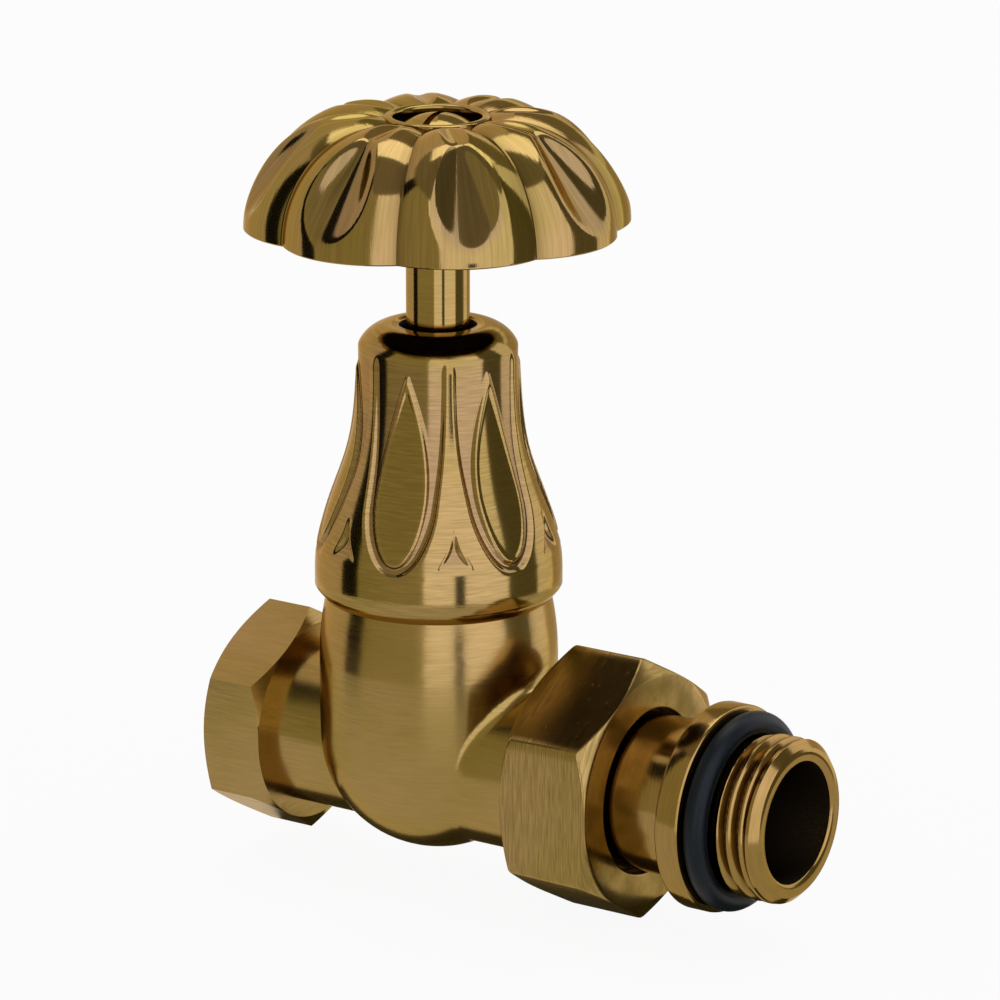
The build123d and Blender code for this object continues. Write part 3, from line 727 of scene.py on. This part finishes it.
def antique_brass(nodes, fine, warm, olive, roughness, relief, shades=()):
    """Lacquered antique brass: brush marks, a slow drift of tone, and painted shade and reflection tints
    where an attribute says.
    """
    slow = nodes.add("TexNoise", {"Scale": 70.0, "Detail": 2.0}, {"Vector": stretched(nodes, (1, 1, 1))})
    drift = ramp(nodes, slow.outputs[0], 0.38, 0.62, 0, 1)
    color = mix_colors(nodes, drift, warm, olive)
    for attribute, shade, share in shades:
        depth = nodes.add("Attribute", attribute_name=attribute).outputs["Fac"]
        color = mix_colors(nodes, ramp(nodes, depth, 0, 1, 0, share), color, shade)
    streak = ramp(nodes, fine, 0.35, 0.65, 0, min(2.4 * relief, 1))
    nodes.link(mix_colors(nodes, streak, color, (0.58, 0.58, 0.50), "MULTIPLY"), "Base Color")
    nodes.link(ramp(nodes, fine, 0.25, 0.75, roughness * 0.75, roughness * 1.3), "Roughness")
    bump = nodes.add("Bump", {"Strength": relief, "Distance": 0.00004}, {"Height": fine})
    nodes.link(bump.outputs["Normal"], "Normal")
    nodes.shader.inputs["Metallic"].default_value = 1.0
    nodes.shader.inputs["Specular Tint"].default_value = (0.90, 0.74, 0.48, 1)
    nodes.shader.inputs["Coat Weight"].default_value = 0.05
    nodes.shader.inputs["Coat Roughness"].default_value = 0.08
    return nodes.material


def brushed_brass(name, brush, *finish):
    """Antique brass with brush marks that run across the axis that the brush scale stretches."""
    nodes = Nodes(name)
    fine = nodes.add(
        "TexNoise", {"Scale": 1.0, "Detail": 3.0, "Roughness": 0.6}, {"Vector": stretched(nodes, brush)}
    )
    return antique_brass(nodes, fine.outputs[0], *finish)


def wheel_brass(*finish):
    """Polished brass whose brush marks run down the wheel's side."""
    nodes = Nodes("wheel_brass")
    grain = nodes.add("Attribute", attribute_name="grain").outputs["Vector"]
    squeezed = nodes.add("Mapping", {"Scale": (3.2, 3.2, 0.10)}, {"Vector": grain}).outputs["Vector"]
    fine = nodes.add("TexNoise", {"Scale": 1.0, "Detail": 3.0, "Roughness": 0.6}, {"Vector": squeezed})
    return antique_brass(nodes, fine.outputs[0], *finish)


def rubber():
    """Satin blue-black rubber with a fine grain."""
    nodes = Nodes("ring_rubber")
    grain = nodes.add("TexNoise", {"Scale": 4000.0, "Detail": 2.0}, {"Vector": stretched(nodes, (1, 1, 1))})
    share = ramp(nodes, grain.outputs[0], 0.3, 0.7, 0, 1)
    nodes.link(mix_colors(nodes, share, (0.003, 0.007, 0.012), (0.006, 0.012, 0.020)), "Base Color")
    nodes.link(ramp(nodes, grain.outputs[0], 0.3, 0.7, 0.34, 0.46), "Roughness")
    bump = nodes.add("Bump", {"Strength": 0.15, "Distance": 0.00002}, {"Height": grain.outputs[0]})
    nodes.link(bump.outputs["Normal"], "Normal")
    nodes.shader.inputs["Specular IOR Level"].default_value = 0.2
    return nodes.material


def plain_grain(name, color, roughness, metallic):
    """A plain finish with a fine grain, for the pieces inside."""
    nodes = Nodes(name)
    grain = nodes.add("TexNoise", {"Scale": 2500.0, "Detail": 2.0}, {"Vector": stretched(nodes, (1, 1, 1))})
    share = ramp(nodes, grain.outputs[0], 0.3, 0.7, 0, 1)
    nodes.link(mix_colors(nodes, share, color, tuple(0.8 * c for c in color)), "Base Color")
    nodes.link(ramp(nodes, grain.outputs[0], 0.3, 0.7, roughness * 0.85, roughness * 1.15), "Roughness")
    nodes.shader.inputs["Metallic"].default_value = metallic
    return nodes.material


def dress(piece, *materials):
    """Give a piece its material, and a second one, the near-black painted shade, where it has faces inside.
    """
    places = np.zeros(len(piece.data.polygons), np.int32)
    piece.data.polygons.foreach_get("material_index", places)
    piece.data.materials.clear()
    for material in materials:
        piece.data.materials.append(material)
    piece.data.polygons.foreach_set("material_index", np.minimum(places, len(materials) - 1))


def dress_all(body, bell, wheel, nut, tail):
    """Materials of the pieces, and of the nodes that show as they are."""
    warm, olive = (0.42, 0.285, 0.115), (0.37, 0.258, 0.085)
    tail_warm, tail_olive = (0.39, 0.25, 0.092), (0.34, 0.222, 0.068)
    wheel_warm, wheel_olive = (0.42, 0.28, 0.115), (0.34, 0.25, 0.070)
    # Painted shades and reflection tints: the attribute that holds their share, the colour and the most of it
    # painted shade with a pinker reflection tint in the bell's channels and darts
    carved = ("recess", (0.34, 0.22, 0.12), 0.8)
    # painted reflection tint, darker and more olive, on the leaves' fields
    leaf = ("field", (0.34, 0.24, 0.075), 0.8)
    # painted shade in the clefts between the wheel's lobes
    painted_cleft_shade = ("recess", (0.12, 0.07, 0.02), 0.6)
    # painted shade, greyer and pinker, in the wheel's gouges
    gouge = ("gouged", (0.30, 0.20, 0.11), 0.6)
    # painted shade, near black, in the roots of the tail's thread
    root = ("recess", (0.05, 0.025, 0.006), 0.9)
    round_the_stem, round_the_pipe = (260, 260, 4600), (4600, 260, 260)
    # near-black painted shade for the faces inside the bell, wheel and tail
    inside = plain_grain("painted_shade_inside", (0.012, 0.008, 0.004), 0.55, 1.0)
    # Brasses: brush marks, two tones, roughness, relief and painted shades
    dress(body, brushed_brass("body_brass", round_the_stem, warm, olive, 0.20, 0.10))
    dress(bell, brushed_brass("cover_brass", round_the_stem, warm, olive, 0.12, 0.24, (carved, leaf)), inside)
    dress(wheel, wheel_brass(wheel_warm, wheel_olive, 0.10, 0.20, (painted_cleft_shade, gouge)), inside)
    dress(nut, brushed_brass("nut_brass", round_the_pipe, warm, olive, 0.22, 0.35))
    threaded = brushed_brass("tail_brass", round_the_pipe, tail_warm, tail_olive, 0.14, 0.12, (root,))
    dress(tail, threaded, inside)
    turned = brushed_brass("turned_brass", round_the_stem, warm, olive, 0.10, 0.15)
    inner_brass = plain_grain("inner_brass", (0.50, 0.36, 0.14), 0.3, 1.0)
    spring = plain_grain("spring_steel", (0.09, 0.08, 0.07), 0.35, 1.0)
    packing = plain_grain("packing_ring", (0.75, 0.75, 0.72), 0.6, 0.0)
    fibre = plain_grain("gasket_fibre", (0.33, 0.11, 0.07), 0.7, 0.0)
    black = rubber()
    finishes = {
        "spindle": turned, "wheel_screw": turned, "bonnet": inner_brass, "gland_nut": inner_brass,
        "packing_washer": inner_brass, "disc_holder": inner_brass, "disc_nut": inner_brass,
        "nut_retaining_ring": spring, "disc_clip": spring, "wheel_washer": spring, "tail_oring": black,
        "union_seal": black, "seat_washer": black, "packing_rings": packing, "bonnet_gasket": fibre,
    }
    for node, material in finishes.items():
        dress(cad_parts[node], material)


# Stage

view_azimuth, view_elevation = 34.61, 16.06
view_distance, view_lens = 809.7, 229.25
aim_right, aim_up = 7.82, 32.76
floor_size = 8.0              # metres
floor_glow = 0.93             # share of the floor that is plain white where it is seen
world_spread, world_seen = 0.55, 1.0
ring_near, ring_far = 108, 230
# half width and lift of the dark card that paints the object's shadow into reflections
shadow_card_half, shadow_card_lift = 7.0, 0.06
ceiling_half, ceiling_height = 2200, 1100.0


def view_axes():
    """Unit vectors from the object to the camera and to the picture's right."""
    turn, rise = radians(view_azimuth), radians(view_elevation)
    back = Vector((sin(turn) * cos(rise), -cos(turn) * cos(rise), sin(rise)))
    return back, Vector((cos(turn), sin(turn), 0))


def make_camera():
    """Camera at the photograph's view."""
    back, right = view_axes()
    aim = Vector((stem_x, 0, aim_up)) + right * aim_right
    data = bpy.data.cameras.new("camera")
    data.lens, data.sensor_width = view_lens, 36.0
    data.clip_start, data.clip_end = 0.01, 20
    camera = bpy.data.objects.new("camera", data)
    camera.location = (aim + back * view_distance) * MM
    camera.rotation_euler = back.to_track_quat("Z", "Y").to_euler()
    bpy.context.scene.collection.objects.link(camera)
    bpy.context.scene.camera = camera


def seen_directly(tree):
    """1 for a ray from the camera, a reflection or a transmission, and 0 for light that spreads."""
    path = tree.nodes.new("ShaderNodeLightPath")
    total = path.outputs["Is Camera Ray"]
    for name in ("Is Glossy Ray", "Is Transmission Ray"):
        add = tree.nodes.new("ShaderNodeMath")
        add.operation = "MAXIMUM"
        tree.links.new(total, add.inputs[0])
        tree.links.new(path.outputs[name], add.inputs[1])
        total = add.outputs[0]
    return total


def make_floor():
    """Wide pale floor that keeps the object's shadow."""
    bpy.ops.mesh.primitive_plane_add(size=floor_size, location=(0, 0, floor_height * MM))
    floor = bpy.context.object
    floor.name = "floor"
    material = bpy.data.materials.new("pale_floor")
    material.use_nodes = True
    tree = material.node_tree
    tree.nodes.remove(tree.nodes["Principled BSDF"])
    diffuse = tree.nodes.new("ShaderNodeBsdfDiffuse")
    diffuse.inputs["Color"].default_value = (0.86, 0.86, 0.86, 1)
    glow = tree.nodes.new("ShaderNodeEmission")
    glow.inputs["Color"].default_value = (1, 1, 1, 1)
    share = tree.nodes.new("ShaderNodeMath")
    share.operation = "MULTIPLY"
    share.inputs[1].default_value = floor_glow
    tree.links.new(seen_directly(tree), share.inputs[0])
    mix = tree.nodes.new("ShaderNodeMixShader")
    tree.links.new(share.outputs[0], mix.inputs[0])
    tree.links.new(diffuse.outputs[0], mix.inputs[1])
    tree.links.new(glow.outputs[0], mix.inputs[2])
    tree.links.new(mix.outputs[0], tree.nodes["Material Output"].inputs["Surface"])
    floor.data.materials.append(material)


def make_world():
    """White surroundings, dimmer for the light that they spread."""
    world = bpy.data.worlds.new("studio")
    bpy.context.scene.world = world
    world.use_nodes = True
    tree = world.node_tree
    background = tree.nodes["Background"]
    background.inputs["Color"].default_value = (1, 1, 1, 1)
    level = tree.nodes.new("ShaderNodeMapRange")
    level.inputs["To Min"].default_value = world_spread
    level.inputs["To Max"].default_value = world_seen
    tree.links.new(seen_directly(tree), level.inputs["Value"])
    tree.links.new(level.outputs["Result"], background.inputs["Strength"])


def place_round(azimuth, elevation, distance):
    """A place round the object, by degrees to the right of the camera and up from the floor, in metres."""
    turn, rise = radians(view_azimuth + azimuth), radians(elevation)
    aim = Vector((stem_x, 0, aim_up)) * MM
    return aim + distance * Vector((sin(turn) * cos(rise), -cos(turn) * cos(rise), sin(rise)))


def facing(place):
    """Rotation that turns a lamp or a card at a place towards the object."""
    return (place - Vector((stem_x, 0, aim_up)) * MM).to_track_quat("Z", "Y").to_euler()


def make_lamp(name, azimuth, elevation, distance, width, height, level):
    """Softbox, by the level that a reflection of it shows."""
    data = bpy.data.lights.new(name, "AREA")
    data.shape = "RECTANGLE"
    data.size, data.size_y = width, height
    data.energy = level * pi * width * height
    lamp = bpy.data.objects.new(name, data)
    lamp.location = place_round(azimuth, elevation, distance)
    lamp.rotation_euler = facing(lamp.location)
    bpy.context.scene.collection.objects.link(lamp)


def reflected_only(card, level, color):
    """Let a card glow and show only in reflections, as a studio's cards and flags do."""
    material = bpy.data.materials.new(card.name)
    material.use_nodes = True
    tree = material.node_tree
    tree.nodes.remove(tree.nodes["Principled BSDF"])
    glow = tree.nodes.new("ShaderNodeEmission")
    glow.inputs["Color"].default_value = (*color, 1)
    glow.inputs["Strength"].default_value = level
    tree.links.new(glow.outputs[0], tree.nodes["Material Output"].inputs["Surface"])
    material.cycles.emission_sampling = "NONE"
    card.data.materials.append(material)
    card.visible_camera = card.visible_diffuse = card.visible_shadow = card.visible_transmission = False


def make_ring_card(name, first, last, near, far, high, level, color, lift=0.03):
    """Card that lies on the floor over an angle round the stem and stands up at its far edge."""
    low = floor_height + lift
    outline = [(near, low), (far, low), (far, low + high)]
    turns = np.radians(view_azimuth - 90 + np.linspace(first, last, 13))
    points = [[round_stem(turn, np.array(place)) for turn in turns] for place in outline]
    reflected_only(sheet_mesh(name, np.array(points)), level, color)


def make_flat_card(name, low, high, height, level, color):
    """Level rectangle between two corners, in millimetres."""
    points = [[(x, y, height) for x in (low[0], high[0])] for y in (low[1], high[1])]
    reflected_only(sheet_mesh(name, np.array(points)), level, color)


def make_cards():
    """Cards round the object by degrees to the right of the camera, one over it, and a dark card under it
    that paints its shadow into reflections.
    """
    cream, olive, tan, plain = (1.0, 0.97, 1.0), (1.0, 0.92, 0.52), (1.0, 0.86, 0.72), (1.0, 1.0, 1.0)
    # First and last angle, height, level and colour
    tones = {
        "left_back": (-180, -97, 420, 0.80, tan),
        "left_black": (-97, -77, 420, 0.015, plain),
        "left_olive": (-77, -13, 420, 0.50, olive),
        "front_cream": (-13, 66, 420, 1.5, cream),
        "right_olive": (66, 101, 420, 0.18, olive),
        "right_bright": (101, 128, 420, 1.25, cream),
        "right_back": (128, 180, 150, 0.60, tan),
    }
    for name, (first, last, high, level, color) in tones.items():
        make_ring_card(name, first, last, ring_near, ring_far, high, level, color)
    make_ring_card("front_black", 15, 24, 98, 228, 60, 0.10, plain, 0.3)
    make_ring_card("near_floor", -180, 180, 0, ring_near, 0.02, 0.75, (1.0, 0.94, 0.80))
    low, high = [np.array(corner) / MM for corner in cad_box]
    # painted shadow: a dark card under the valve, seen only in reflections
    make_flat_card("painted_shadow_card", (low[0], -shadow_card_half), (high[0], shadow_card_half), floor_height + shadow_card_lift, 0.05, olive)
    corners = [(side, side) for side in (-ceiling_half, ceiling_half)]
    make_flat_card("ceiling", *corners, ceiling_height, 0.30, (1.0, 0.90, 0.62))


def make_stage():
    """Camera, floor, surroundings, softbox and cards."""
    make_camera()
    make_floor()
    make_world()
    make_lamp("top_softbox", 165, 66, 0.9, 0.7, 0.42, 2.0)
    make_cards()
    bpy.context.scene.view_settings.view_transform = "Standard"


dress_all(make_body(), make_bell(), make_wheel(), make_nut(), make_tail())
make_stage()
